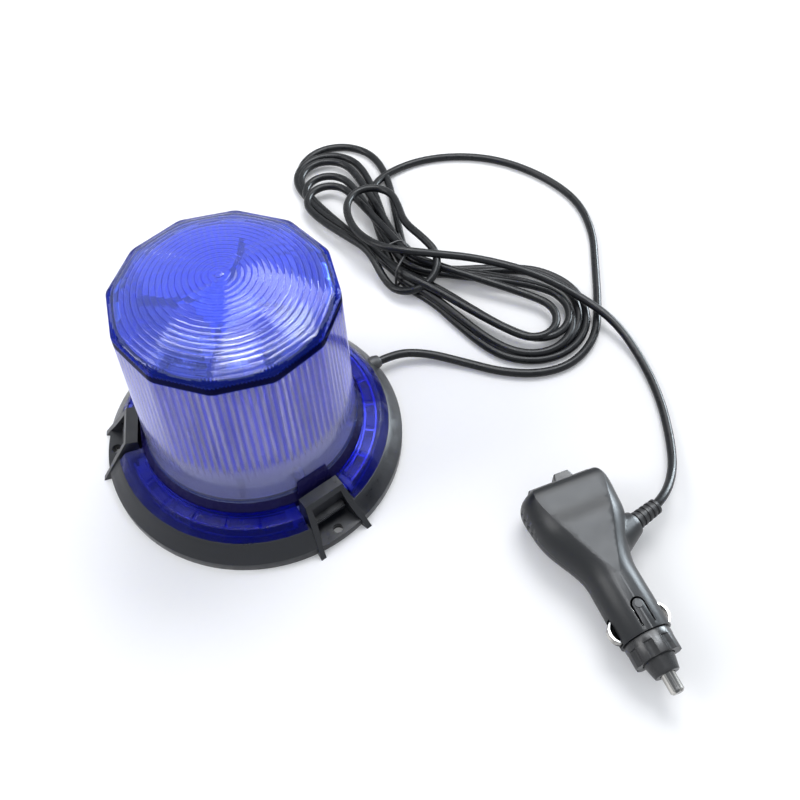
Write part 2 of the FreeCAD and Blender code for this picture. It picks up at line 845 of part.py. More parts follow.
def plug_shells():
    along = boot_axis()
    boot = Part.makeCone(boot_root_r, boot_tip_r, boot_len, boot_point(0), along)
    outside = fused([plug_form(0), boot])
    shell = outside.cut(plug_form(plug_wall))
    end_wall = V(shell_end - plug_wall, 0, 0)
    spigot = cylinder(spigot_r, plug_wall + spigot_len, end_wall, V(1, 0, 0))
    spigot = spigot.fuse(cylinder(shell_r - plug_wall / 2, plug_wall, end_wall, V(1, 0, 0)))
    feet = [V(shell_screw_x, s * shell_screw_y, -head_half_h) for s in (-1, 1)]
    bosses = [cylinder(shell_boss_r, 2 * head_half_h, foot).common(outside) for foot in feet]
    shell = fused([shell, spigot] + bosses)
    fuse_room = V(shell_end - 2 * plug_wall, 0, 0)
    shell = shell.cut(cylinder(fuse_r + slide_gap, spigot_len + 2 * plug_wall, fuse_room, V(1, 0, 0)))
    tip_room = tip_flange_r + slide_gap
    shell = shell.cut(cylinder(tip_room, spigot_len, V(shell_end + collar_lip, 0, 0), V(1, 0, 0)))
    shell = shell.cut(block(-plate_proud, plug_wall + plate_thick, -plate_half_w - fit, plate_half_w + fit,
                            -plate_half_h - fit, plate_half_h + fit))
    shell = shell.cut(cylinder(relief_root_r, relief_root, boot_point(boot_len - relief_root), along))
    shell = shell.cut(cylinder(cord_r + slide_gap, boot_len, boot_point(0), along))
    for s in (-1, 1):
        at = V(shell_screw_x, s * shell_screw_y, -head_half_h)
        shell = shell.cut(cylinder(screw_r, head_half_h + shell_screw_bite, at))
        shell = shell.cut(cylinder(screw_head_r + fit, shell_screw_sink, at))
        for k in range(groove_count):
            at = V(groove_first + groove_pitch * k, s * groove_p, -head_half_h)
            shell = shell.cut(cylinder(groove_r, 2 * head_half_h, at))
        slot_half = contact_half + slide_gap
        slot = block(contact_x - slot_half, contact_x + slot_half, 0, shell_r + plug_wall,
                     -contact_half_h - slide_gap, contact_half_h + slide_gap)
        slot = slot.cut(cylinder(spigot_r - 2 * plug_wall, shell_end, V(0, 0, 0), V(1, 0, 0)))
        shell = shell.cut(slot if s > 0 else slot.mirror(V(0, 0, 0), V(0, 1, 0)))
    rear = tongue_rear + tongue_half
    outer = fused([cylinder(tongue_half, shell_r, V(rear, 0, 0)),
                   block(rear, tongue_front, -tongue_half, tongue_half, 0, shell_r)])
    inner_half = tongue_half - tongue_slot
    inner = fused([cylinder(inner_half, shell_r, V(rear, 0, 0)),
                   block(rear, tongue_front, -inner_half, inner_half, 0, shell_r)])
    skin = block(0, tip_end, -shell_r, shell_r, shell_r - 2 * plug_wall, shell_r)
    shell = shell.cut(outer.cut(inner).common(skin))
    shell = shell.fuse(cylinder(dimple_r, plug_wall / 2 + dimple_proud, V(rear, 0, shell_r - plug_wall / 2)))
    big = 2 * tip_end
    upper = shell.common(block(-big, big, -big, big, 0, big))
    lower = shell.common(block(-big, big, -big, big, -big, 0))
    return upper, lower


def make_shell_screws():
    screws = []
    for s in (-1, 1):
        under = V(shell_screw_x, s * shell_screw_y, shell_screw_sink - head_half_h)
        screws.append(screw(under, head_half_h))
    return Part.makeCompound(screws)


def make_strain_relief():
    along = boot_axis()
    root = cylinder(relief_root_r, relief_root, boot_point(boot_len - relief_root), along)
    sleeve = Part.makeCone(relief_r, relief_tip_r, relief_len, boot_point(boot_len), along)
    pieces = [root, sleeve]
    pitch = relief_len / relief_ribs
    for k in range(relief_ribs):
        at = boot_point(boot_len + pitch * (k + 1) - relief_rib_w)
        r = relief_r + (relief_tip_r - relief_r) * (k + 1) / relief_ribs + relief_rib
        pieces.append(cylinder(r, relief_rib_w, at, along))
    bore = cylinder(cord_r, relief_bore, boot_point(boot_len + relief_len - relief_bore), along)
    return fused(pieces).cut(bore)


def make_switch_plate():
    plate = block(-plate_proud, -plate_proud + plate_thick, -plate_half_w, plate_half_w,
                  -plate_half_h, plate_half_h)
    reach = stem_half_w + slide_gap
    slot = block(-plate_proud, -plate_proud + plate_thick, knob_rest - knob_travel - reach, knob_rest + reach,
                 -stem_half_h - fit, stem_half_h + fit)
    return plate.cut(slot)


def make_switch_knob():
    outer = -plate_proud - slide_gap
    inner = -plate_proud + plate_thick + slide_gap
    form = (0, knob_proud, knob_half_w, knob_half_w - knob_taper)
    head = wedge(form, -knob_half_h, form, knob_half_h)
    head.rotate(V(0, 0, 0), UP, 180)
    head.translate(V(outer, 0, 0))
    stem = block(outer, inner, -stem_half_w, stem_half_w, -stem_half_h, stem_half_h)
    foot = block(inner, inner + foot_thick, -stem_half_w, stem_half_w, -foot_half_h, foot_half_h)
    knob = fused([head, stem, foot])
    knob.translate(V(0, knob_rest, 0))
    return knob


def make_plug_board():
    x = -plate_proud + plate_thick + foot_thick + 2 * slide_gap
    return block(x, x + plug_board_len, -plug_board_half, plug_board_half,
                 plug_board_z, plug_board_z + plug_board_thick)


def make_switch_module():
    x = -plate_proud + plate_thick + foot_thick + 2 * slide_gap
    z = plug_board_z + plug_board_thick
    return block(x, x + switch_deep, -switch_half_w, switch_half_w, z, z + switch_height)


def make_nose_cap():
    ring = cylinder(cap_r, cap_len, V(shell_end + fit, 0, 0), V(1, 0, 0))
    for k in range(cap_flutes):
        a = math.radians(360.0 / cap_flutes * (k + 0.5))
        r = cap_r + cap_flute_r - cap_flute_depth
        at = V(shell_end + fit + cap_len / 3, r * math.cos(a), r * math.sin(a))
        ring = ring.cut(cylinder(cap_flute_r, cap_len, at, V(1, 0, 0)))
    deep = spigot_len + collar_flange + 2 * slide_gap
    ring = ring.cut(cylinder(spigot_r + slide_gap, deep, V(shell_end, 0, 0), V(1, 0, 0)))
    return ring.cut(cylinder(collar_r + slide_gap, cap_len, V(shell_end + fit, 0, 0), V(1, 0, 0)))


def make_contact_collar():
    root = shell_end + spigot_len + slide_gap
    flange = cylinder(spigot_r, collar_flange, V(root, 0, 0), V(1, 0, 0))
    body = cylinder(collar_r, cap_front - root, V(root, 0, 0), V(1, 0, 0))
    nose = Part.makeCone(collar_r, collar_tip_r, collar_len, V(cap_front, 0, 0), V(1, 0, 0))
    body = fused([flange, body, nose])
    flange_room = collar_shoulder() - root
    body = body.cut(cylinder(tip_flange_r + slide_gap, flange_room, V(root, 0, 0), V(1, 0, 0)))
    return body.cut(cylinder(tip_r + slide_gap, tip_end, V(root, 0, 0), V(1, 0, 0)))


def collar_shoulder():
    return cap_front + collar_len - collar_lip


def make_tip_contact():
    back = collar_shoulder() - tip_flange_len
    flange = cylinder(tip_flange_r, tip_flange_len, V(back, 0, 0), V(1, 0, 0))
    pin = cylinder(tip_r, tip_end - tip_bevel - back, V(back, 0, 0), V(1, 0, 0))
    point = Part.makeCone(tip_r, tip_r - tip_bevel, tip_bevel, V(tip_end - tip_bevel, 0, 0), V(1, 0, 0))
    return fused([flange, pin, point])


def make_fuse():
    front = collar_shoulder() - tip_flange_len
    return cylinder(fuse_r, fuse_len, V(front - fuse_len, 0, 0), V(1, 0, 0))


def make_tip_spring():
    back = collar_shoulder() - tip_flange_len - fuse_len
    return tube(spring_r, spring_r - 2 * spring_wire, spring_len, V(back - spring_len, 0, 0), V(1, 0, 0))


def make_side_contact(side):
    """Bowed leaf that stands out of its slot in the shell."""
    def bow(out):
        y = shell_r - plug_wall + out
        return (V(contact_x - contact_half, y, 0), V(contact_x, y + plug_wall + contact_bow, 0),
                V(contact_x + contact_half, y, 0))
    a0, a1, a2 = bow(0)
    b0, b1, b2 = bow(-contact_thick)
    edges = [Part.Arc(a0, a1, a2).toShape(), Part.LineSegment(a2, b2).toShape(),
             Part.Arc(b2, b1, b0).toShape(), Part.LineSegment(b0, a0).toShape()]
    leaf = Part.Face(Part.Wire(edges)).extrude(V(0, 0, 2 * contact_half_h))
    leaf.translate(V(0, 0, -contact_half_h))
    return leaf if side > 0 else leaf.mirror(V(0, 0, 0), V(0, 1, 0))


def relief_mouth():
    """World points of the strain relief's bore end and of its mouth."""
    ends = []
    for along in (boot_len + relief_len - relief_bore, boot_len + relief_len + cord_d):
        ends.append(turned_point(boot_point(along), plug_angle) + plug_rear)
    return ends


os.makedirs("parts", exist_ok=True)

save("base_housing", make_base_housing())
save("lens_gasket", make_lens_gasket())
save("bottom_cover", make_bottom_cover())
save("cover_screws", make_cover_screws())
save("base_magnet", tube(magnet_r, magnet_bore_r, magnet_thick, V(0, 0, pad_thick)))
save("base_pad", cylinder(pad_r, pad_thick, V(0, 0, 0)))
save("main_board", make_main_board())
save("board_screws", make_board_screws())
save("flange_leds", make_flange_leds())
for number, segment in enumerate(make_flange_reflectors(), 1):
    save("flange_reflector_" + str(number), segment)
inductor, capacitors, controller = make_driver_parts()
save("driver_inductor", inductor)
save("driver_capacitors", capacitors)
save("driver_controller", controller)
save("reflector_tower", make_reflector_tower())
save("tower_screws", make_tower_screws())
for number, angle in enumerate(bay_angles, 1):
    save("led_strip_" + str(number), strip(angle))
    save("strip_leds_" + str(number), Part.makeCompound(strip_chips(angle)))
save("lens", make_lens())
save("lens_screws", make_lens_screws())
save("cord_grommet", make_grommet())
save("cord_lead", cord_tube("cord_lead", lead_points))
save("cord_hank", make_hank().cut(make_twist_tie()))
save("twist_tie", make_twist_tie())
bore_end, mouth = relief_mouth()
save("cord_tail", cord_tube("cord_tail", tail_points + [mouth, bore_end]))
upper_shell, lower_shell = plug_shells()
save("plug_upper_shell", placed(upper_shell))
save("plug_lower_shell", placed(lower_shell))
save("plug_screws", placed(make_shell_screws()))
save("strain_relief", placed(make_strain_relief()))
save("switch_plate", placed(make_switch_plate()))
save("switch_knob", placed(make_switch_knob()))
save("switch_module", placed(make_switch_module()))
save("plug_board", placed(make_plug_board()))
save("nose_cap", placed(make_nose_cap()))
save("contact_collar", placed(make_contact_collar()))
save("tip_contact", placed(make_tip_contact()))
save("fuse", placed(make_fuse()))
save("tip_spring", placed(make_tip_spring()))
save("side_contact_left", placed(make_side_contact(1)))
save("side_contact_right", placed(make_side_contact(-1)))
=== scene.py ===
from math import asin, atan2, cos, degrees, pi, radians, sin, sqrt, tan

import bmesh
import bpy
from mathutils import Matrix, Vector


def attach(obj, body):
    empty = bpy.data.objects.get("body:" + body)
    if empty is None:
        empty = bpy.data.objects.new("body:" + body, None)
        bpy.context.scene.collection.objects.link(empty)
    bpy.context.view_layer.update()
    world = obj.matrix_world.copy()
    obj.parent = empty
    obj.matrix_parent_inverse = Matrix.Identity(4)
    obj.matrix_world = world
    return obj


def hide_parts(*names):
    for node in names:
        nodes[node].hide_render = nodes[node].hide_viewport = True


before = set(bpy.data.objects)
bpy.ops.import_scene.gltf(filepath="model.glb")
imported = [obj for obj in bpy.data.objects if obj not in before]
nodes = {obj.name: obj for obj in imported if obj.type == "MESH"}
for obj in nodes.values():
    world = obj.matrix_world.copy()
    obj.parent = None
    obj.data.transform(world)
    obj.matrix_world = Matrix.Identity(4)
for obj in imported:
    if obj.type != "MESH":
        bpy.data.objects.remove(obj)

MM = 0.001

# Lens sizes, in millimetres and degrees
lug_angles = (-51.5, 68.5, 188.5)
lug_step = 120.0
lens_wall = 2.2
lens_low = 14.0
rim_sides, rim_r, rim_corner_r, rim_z = 12, 43.0, 7.0, 97.0
foot_r, foot_z = 45.4, 22.0
riser_r, riser_z, riser_wall = 48.1, 18.0, 1.5
dome_rise = 9.5
dome_edge = 1.0
nub_r = 1.7
band_low = 92.4
rim_edge = 2.4
window_turn = 15.0

# Rings of the dome: each one's outline as a share of the pitch inwards and a depth below the dome
ring_count = 17
ring_pitch = (rim_r - dome_edge - nub_r) / ring_count
ring_profile = ((0.0, 0.16), (0.06, 0.045), (0.25, 0.014), (0.5, 0.0), (0.75, 0.014), (0.94, 0.045))

# Flutes inside the wall
flute_count = 96
flute_depth = 0.8
flute_samples = 6
flute_low, flute_high, flute_fade = 37.0, 93.0, 5.0

# Directions that the painted reflection streaks on the contact metal and the painted shade along the edges of
# the reflector fins follow
plug_turn = -67.5
fin_turn = 17.0
fin_angle = lug_angles[1] + fin_turn

scene = bpy.context.scene
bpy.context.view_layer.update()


# Helpers

def add_piece(name, data):
    piece = bpy.data.objects.new(name, data)
    scene.collection.objects.link(piece)
    return piece


def mesh_piece(name, bm, sharp_angle):
    """Makes an object of a bmesh drawn in millimetres, with creases sharper than an angle left sharp."""
    bmesh.ops.scale(bm, vec=(MM, MM, MM), verts=bm.verts)
    bmesh.ops.recalc_face_normals(bm, faces=bm.faces)
    mesh = bpy.data.meshes.new(name)
    bm.to_mesh(mesh)
    bm.free()
    for face in mesh.polygons:
        face.use_smooth = True
    mesh.set_sharp_from_angle(angle=radians(sharp_angle))
    piece = add_piece(name, mesh)
    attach(piece, "beacon")
    return piece


def curve_piece(name, points, thickness):
    """Round wire along a smooth NURBS line with these points, given in millimetres, as its control points."""
    curve = bpy.data.curves.new(name, "CURVE")
    curve.dimensions = "3D"
    spline = curve.splines.new("NURBS")
    spline.points.add(len(points) - 1)
    for place, point in zip(spline.points, points):
        place.co = [v * MM for v in point] + [1.0]
        place.radius = thickness / 2 * MM
    spline.order_u = 3
    spline.use_endpoint_u = True
    spline.resolution_u = 8
    curve.bevel_depth = 1.0
    curve.bevel_resolution = 6
    curve.use_fill_caps = True
    piece = add_piece(name, curve)
    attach(piece, "beacon")
    return piece


def polar(r, angle, z=0.0):
    return Vector((r * cos(radians(angle)), r * sin(radians(angle)), z))


def up(height):
    return Vector((0, 0, height))


# Camera, at the photograph's place

camera_place = (0.064, -0.2186, 0.342)
camera_tilt = 34.9
camera_data = bpy.data.cameras.new("camera")
camera_data.lens = 40.5
camera_data.sensor_width = 36.0
camera_data.clip_start = 0.01
camera = add_piece("camera", camera_data)
camera.location = camera_place
camera.rotation_euler = (radians(camera_tilt), 0, 0)
scene.camera = camera
scene.view_settings.view_transform = "Standard"


# Cord: out of the grommet, round the floor, into the hank, and from its tie to the plug

cord_d = 4.0
lead_route = [(46.87, 33.31, 6), (59.91, 42.58, 6), (76, 45, 3.6), (94, 40.5, 2.1), (112, 34.6, 2),
              (130.5, 33.4, 2.1), (147, 40, 2), (159, 56, 2.1), (162.6, 78, 2), (164.4, 103, 2.1),
              (166.2, 128, 2), (160.5, 152, 2.1), (143, 171.5, 2), (119, 185, 2.1), (93, 188, 2),
              (68, 181.5, 2.1), (47, 163, 3)]
into_hank = [(50, 136, 2.2)]
# The last turn goes round the bundle below the tie and up
wrap_route = [(56, 91, 4.2), (62.5, 82.8, 4.5), (73, 81.4, 7), (81.8, 87.8, 11), (83, 99, 14.5),
              (76, 109, 15.5)]
# Then it makes a small curl on top and passes over the tie
curl_route = [(66, 121, 14.8), (63, 135, 13.6), (59, 145.4, 13.3), (49.2, 149.6, 13.2), (39.4, 145.4, 13.1),
              (35.4, 135, 13), (38, 122.5, 13.4), (44, 111.5, 14.6), (54, 102, 16.6), (66, 98.5, 17.4)]
tail_route = [(79, 97.5, 16.5), (104, 97.5, 13), (131, 88.5, 12.2), (154, 75.5, 8), (168.5, 62, 6.2),
              (179, 42, 2.3), (184, 20, 2), (184.8, -2, 2.4), (182.5, -21, 4.4), (172.83, -39.48, 12),
              (164.85, -45.49, 12)]

# The hank is tied here, and this is the direction across its strands
tie = Vector((66, 96.5, 0))
across = polar(1, 65)
# Each turn's loop beyond the tie: direction, length, half width on the lead's side and on the other side
far_loops = [(116.6, 107, 26, 21), (118.2, 101, 17, 21), (119.5, 96, 13, 17.5), (122.5, 84, 10, 16),
             (124.5, 76, 8, 17)]
near_loops = [(-20.5, 96, 27, 33), (-21.0, 92, 25, 30), (-22.0, 90, 17, 28), (-22.5, 87, 16, 17),
              (-25.0, 82, 10.5, 15)]
strand_shares = (0.3, 0.55, 0.8, 1.0)
end_points = 5
strand_gap = cord_d * 1.03
strand_lift = 2.1
turn_rise = 0.9


def turn_side(turn):
    """Where a turn's strands run beside the others at the tie: sideways place and height."""
    return strand_lift + strand_gap * (1 - turn % 2), strand_lift + strand_gap * (turn // 2)


def flare(share):
    """How far a strand has left the bundle, from nought at the tie to one where the loop is widest."""
    return share ** 2 * (3 - 2 * share)


def hank_loop(loop, turn, first_side):
    """One loop of the hank: a strand out from the tie, a round end, and a strand back."""
    angle, length, half_lead, half_other = loop
    side, height = turn_side(turn)
    rise = strand_lift + turn_rise * turn - height
    ahead = polar(1, angle)
    to_lead = polar(1, angle + 90)
    if to_lead.dot(across) < 0:
        to_lead = -to_lead
    bend_r = (half_lead + half_other) / 2
    middle = (half_lead - half_other) / 2
    straight = length - bend_r
    first = half_lead if first_side > 0 else -half_other
    last = 2 * middle - first
    start = side * first_side
    flat = []
    for share in strand_shares:
        flat.append((straight * share, start + (first - start) * flare(share), share))
    for k in range(1, end_points + 1):
        a = pi * k / (end_points + 1)
        flat.append((straight + bend_r * sin(a), middle + (first - middle) * cos(a), 1.0))
    for share in reversed(strand_shares):
        flat.append((straight * share, (last + start) * flare(share) - start, share))
    return [tie + ahead * out + to_lead * wide + up(height + rise * share) for out, wide, share in flat]


def at_tie(turn, sign):
    side, height = turn_side(turn)
    return tie + across * side * sign + up(height)


route = lead_route + into_hank
for turn, (near, far) in enumerate(zip(near_loops, far_loops)):
    route.append(at_tie(turn, -1))
    route += hank_loop(near, turn, -1)
    route.append(at_tie(turn, 1))
    route += hank_loop(far, turn, 1)
route += wrap_route + curl_route + tail_route
cord = curve_piece("power_cord", route, cord_d)
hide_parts("cord_lead", "cord_hank", "cord_tail")


# Room

floor_half = 3.0
floor_colour = (0.90, 0.90, 0.915, 1)
floor_glow = 0.10
air_colour = (0.92, 0.96, 1, 1)
air_light, air_seen = 0.62, 1.0


def seen_directly(tree):
    """One where a camera, mirror or glass ray looks, nought for the rays that light the object."""
    path = tree.nodes.new("ShaderNodeLightPath")
    total = path.outputs["Is Camera Ray"]
    for other in ("Is Glossy Ray", "Is Transmission Ray"):
        join = tree.nodes.new("ShaderNodeMath")
        join.operation = "MAXIMUM"
        tree.links.new(total, join.inputs[0])
        tree.links.new(path.outputs[other], join.inputs[1])
        total = join.outputs[0]
    return total


def seen_level(tree, unseen, seen):
    """One strength for the rays that light the object and another for those that look."""
    level = tree.nodes.new("ShaderNodeMapRange")
    level.inputs["To Min"].default_value = unseen
    level.inputs["To Max"].default_value = seen
    tree.links.new(seen_directly(tree), level.inputs["Value"])
    return level.outputs[0]


def paper_floor():
    bm = bmesh.new()
    bmesh.ops.create_grid(bm, x_segments=8, y_segments=8, size=floor_half)
    mesh = bpy.data.meshes.new("floor")
    bm.to_mesh(mesh)
    bm.free()
    paper = bpy.data.materials.new("floor_paper")
    paper.use_nodes = True
    shader = paper.node_tree.nodes["Principled BSDF"]
    shader.inputs["Base Color"].default_value = floor_colour
    shader.inputs["Roughness"].default_value = 0.9
    shader.inputs["Specular IOR Level"].default_value = 0.1
    shader.inputs["Emission Color"].default_value = (1, 1, 1, 1)
    glow = seen_level(paper.node_tree, 0.0, floor_glow)
    paper.node_tree.links.new(glow, shader.inputs["Emission Strength"])
    mesh.materials.append(paper)
    add_piece("floor", mesh)


def studio_air():
    world = bpy.data.worlds.new("studio")
    world.use_nodes = True
    air = world.node_tree.nodes["Background"]
    air.inputs["Color"].default_value = air_colour
    world.node_tree.links.new(seen_level(world.node_tree, air_light, air_seen), air.inputs["Strength"])
    scene.world = world


def soft_box(name, place, aim, size, power, colour=(1, 1, 1), sheen_only=False):
    """Soft lamp; one for sheen only shows in reflections and adds no light to the floor."""
    lamp = bpy.data.lights.new(name, "AREA")
    lamp.shape = "RECTANGLE"
    lamp.size, lamp.size_y = size
    lamp.energy = power
    lamp.color = colour
    box = add_piece(name, lamp)
    box.location = place
    box.rotation_euler = (Vector(aim) - Vector(place)).to_track_quat("-Z", "Y").to_euler()
    box.visible_diffuse = not sheen_only


paper_floor()
studio_air()
soft_box("key_light", (0.25, 0.55, 0.95), (0.06, 0.04, 0.03), (0.7, 0.5), 6.0)
soft_box("side_light", (-0.75, -0.15, 0.6), (0.0, 0.0, 0.05), (0.4, 0.6), 4.0)
soft_box("right_light", (0.95, 0.65, 0.25), (0.08, 0.03, 0.02), (0.6, 0.4), 20.0, (0.82, 0.92, 1.0), True)
soft_box("panel_light", (0.43, 0.34, 1.0), (0.155, -0.08, 0.02), (0.35, 0.35), 3.6, (0.84, 0.92, 1.0), True)

# Strips above the dome, whose reflections are its pale streaks: place across, width, and power per width
strips = ((-0.24, 0.11, 14), (-0.19, 0.03, 34), (0.0, 0.22, 12), (0.12, 0.03, 34), (0.22, 0.04, 34),
          (0.29, 0.08, 14))
strip_length = 0.7
for number, (x, width, glow) in enumerate(strips, 1):
    soft_box("strip_light_%d" % number, (x, 0.1, 1.0), (0.0, 0.02, 0.1), (width, strip_length), glow * width,
             (0.95, 0.97, 1.0), True)


# Materials

class Look:
    """A node material built up from a Principled shader and object coordinates in metres."""

    def __init__(self, name, colour, roughness, **values):
        self.name = name
        self.mat = bpy.data.materials.new(name + "_finish")
        self.mat.use_nodes = True
        self.tree = self.mat.node_tree
        self.shader = self.tree.nodes["Principled BSDF"]
        self.place = self.tree.nodes.new("ShaderNodeTexCoord").outputs["Object"]
        self.set("Base Color", (*colour, 1))
        self.set("Roughness", roughness)
        for key, value in values.items():
            self.set(key.replace("_", " "), value)

    def set(self, socket, value):
        self.shader.inputs[socket].default_value = value

    def link(self, source, target):
        self.tree.links.new(source, target)

    def drive(self, socket, source):
        """Gives one of the shader's sockets another node's output."""
        self.link(source, self.shader.inputs[socket])

    def feed(self, socket, value):
        """Gives any socket a number, a colour or another node's output."""
        if isinstance(value, bpy.types.NodeSocket):
            self.link(value, socket)
        else:
            socket.default_value = value

    def math(self, operation, a, b=0.0):
        node = self.tree.nodes.new("ShaderNodeMath")
        node.operation = operation
        self.feed(node.inputs[0], a)
        self.feed(node.inputs[1], b)
        return node.outputs[0]

    def plus(self, a, b):
        return self.math("ADD", a, b)

    def minus(self, a, b):
        return self.math("SUBTRACT", a, b)

    def times(self, a, b):
        return self.math("MULTIPLY", a, b)

    def reach(self, x, y):
        """Distance from the axis."""
        return self.math("SQRT", self.plus(self.times(x, x), self.times(y, y)))

    def wave(self, value, count):
        """Zigzag between nought and a half."""
        return self.math("PINGPONG", self.times(value, count), 0.5)

    def ramp(self, value, low, high, start=0.0, end=1.0):
        """Smooth step from start at low to end at high."""
        node = self.tree.nodes.new("ShaderNodeMapRange")
        node.interpolation_type = "SMOOTHSTEP"
        given = {"Value": value, "From Min": low, "From Max": high, "To Min": start, "To Max": end}
        for key, entry in given.items():
            self.feed(node.inputs[key], entry)
        return node.outputs[0]

    def mix(self, factor, a, b):
        node = self.tree.nodes.new("ShaderNodeMix")
        node.data_type = "RGBA"
        self.feed(node.inputs[0], factor)
        self.feed(node.inputs[6], (*a, 1) if isinstance(a, tuple) else a)
        self.feed(node.inputs[7], (*b, 1) if isinstance(b, tuple) else b)
        return node.outputs[2]

    def noise(self, scale, detail=4.0, rough=0.55, at=None):
        node = self.tree.nodes.new("ShaderNodeTexNoise")
        self.link(at or self.place, node.inputs["Vector"])
        node.inputs["Scale"].default_value = scale
        node.inputs["Detail"].default_value = detail
        node.inputs["Roughness"].default_value = rough
        return node.outputs["Fac"]

    def stretched(self, scale, turn=0.0):
        """Object coordinates turned about Z and then drawn out."""
        node = self.tree.nodes.new("ShaderNodeMapping")
        node.vector_type = "TEXTURE"
        self.link(self.place, node.inputs["Vector"])
        node.inputs["Rotation"].default_value = (0, 0, radians(turn))
        node.inputs["Scale"].default_value = [1 / s for s in scale]
        return node.outputs["Vector"]

    def axes(self, at=None):
        node = self.tree.nodes.new("ShaderNodeSeparateXYZ")
        self.link(at or self.place, node.inputs[0])
        return node.outputs

    def bump(self, height, distance, strength):
        node = self.tree.nodes.new("ShaderNodeBump")
        node.inputs["Strength"].default_value = strength
        node.inputs["Distance"].default_value = distance
        self.link(height, node.inputs["Height"])
        self.drive("Normal", node.outputs[0])

    def vary(self, socket, factor, low, high):
        """Spreads a number or colour over a 0 to 1 factor."""
        if isinstance(low, tuple):
            self.drive(socket, self.mix(factor, low, high))
        else:
            self.drive(socket, self.ramp(factor, 0.3, 0.7, low, high))


def moulded(name, dark, light, rough, grain=3500, depth=0.00003, uneven=0.07, **values):
    """Moulded plastic or rubber with fine spark grain, faint handling marks and a little unevenness."""
    look = Look(name, dark, rough, **values)
    look.vary("Base Color", look.noise(60, 5.0), dark, light)
    look.vary("Roughness", look.noise(180, 6.0, 0.65), rough - uneven, rough + uneven)
    look.bump(look.noise(grain, 3.0), depth, 0.6)
    return look


def metal(name, colour, rough, streak=(30, 30, 900), depth=0.00001):
    """Plated or drawn metal with fine streaks and slight stains."""
    look = Look(name, colour, rough, Metallic=1.0)
    stain = tuple(c * 0.86 for c in colour)
    look.vary("Base Color", look.noise(90, 4.0), stain, colour)
    look.vary("Roughness", look.noise(140, 5.0), rough * 0.7, rough * 1.5)
    look.bump(look.noise(1.0, 3.0, 0.6, look.stretched(streak)), depth, 0.3)
    return look


def printed_board(name, resist, copper):
    """Solder resist with faint tracks under it."""
    look = Look(name, resist, 0.4, Coat_Weight=0.4, Coat_Roughness=0.25)
    brick = look.tree.nodes.new("ShaderNodeTexBrick")
    look.link(look.place, brick.inputs["Vector"])
    brick.inputs["Scale"].default_value = 260.0
    brick.inputs["Mortar Size"].default_value = 0.08
    look.drive("Base Color", look.mix(brick.outputs["Fac"], resist, copper))
    look.bump(brick.outputs["Fac"], 0.00002, 0.5)
    return look


def led_look(name):
    """Pale yellow phosphor in a white case."""
    look = Look(name, (0.9, 0.88, 0.8), 0.35)
    look.vary("Base Color", look.noise(700, 2.0), (0.85, 0.80, 0.62), (0.92, 0.90, 0.84))
    look.vary("Roughness", look.noise(900, 3.0), 0.25, 0.45)
    look.bump(look.noise(2500), 0.00002, 0.4)
    return look


def blue_lens(name, ior, specular, dome_blue):
    """Blue moulding: bright ringed dome with painted shade along its ring grooves, hazy ribbed wall and a
    dark serrated band under the rim.
    """
    look = Look(name, dome_blue, 0.05, IOR=ior, Specular_IOR_Level=specular)
    x, y, z = look.axes()
    r = look.reach(x, y)
    angle = look.math("ARCTAN2", y, x)
    wall = look.times(look.ramp(z, 0.0222, 0.0235), look.ramp(z, 0.0935, 0.0915))

    rib = look.wave(angle, flute_count / (2 * pi))
    rib_end = look.plus(0.0375, look.times(rib, 0.012))
    ribs = look.times(look.ramp(rib, 0.18, 0.34), look.ramp(look.minus(z, rib_end), 0.0, 0.004))

    tooth = look.wave(angle, flute_count / pi)
    band_high = look.plus(0.0956, look.times(tooth, 0.0022))
    band = look.times(look.ramp(look.minus(band_high, z), 0.0, 0.0003),
                      look.ramp(z, band_low * MM, band_low * MM + 0.0006))
    band = look.times(band, look.math("GREATER_THAN", r, 0.0385))

    inwards = look.minus((rim_r - dome_edge) * MM, r)
    ring = look.math("PINGPONG", look.math("DIVIDE", inwards, ring_pitch * MM), 0.5)
    # Painted shade: the dome is a darker blue along the grooves between its rings
    ring_groove_shade = look.times(look.ramp(ring, 0.07, 0.02), look.ramp(z, 0.0968, 0.0972))

    haze = look.mix(look.noise(55, 4.0), (0.40, 0.40, 0.68), (0.48, 0.48, 0.76))
    grey = look.mix(look.ramp(z, 0.034, 0.044), (0.40, 0.41, 0.57), haze)
    colour = look.mix(ring_groove_shade, dome_blue, (0.06, 0.08, 0.6))
    colour = look.mix(wall, colour, look.mix(ribs, grey, (0.17, 0.18, 0.98)))
    look.drive("Base Color", look.mix(band, colour, (0.002, 0.003, 0.03)))
    clear = look.ramp(wall, 0.0, 1.0, 0.86, 0.78)
    look.drive("Transmission Weight", look.minus(clear, look.times(band, 0.7)))
    dust = look.ramp(look.noise(260, 6.0, 0.7), 0.45, 0.8, 0.0, 0.05)
    look.drive("Roughness", look.plus(look.ramp(wall, 0.0, 1.0, 0.03, 0.09), dust))
    look.bump(look.noise(350, 2.0), 0.00003, 0.2)
    return look


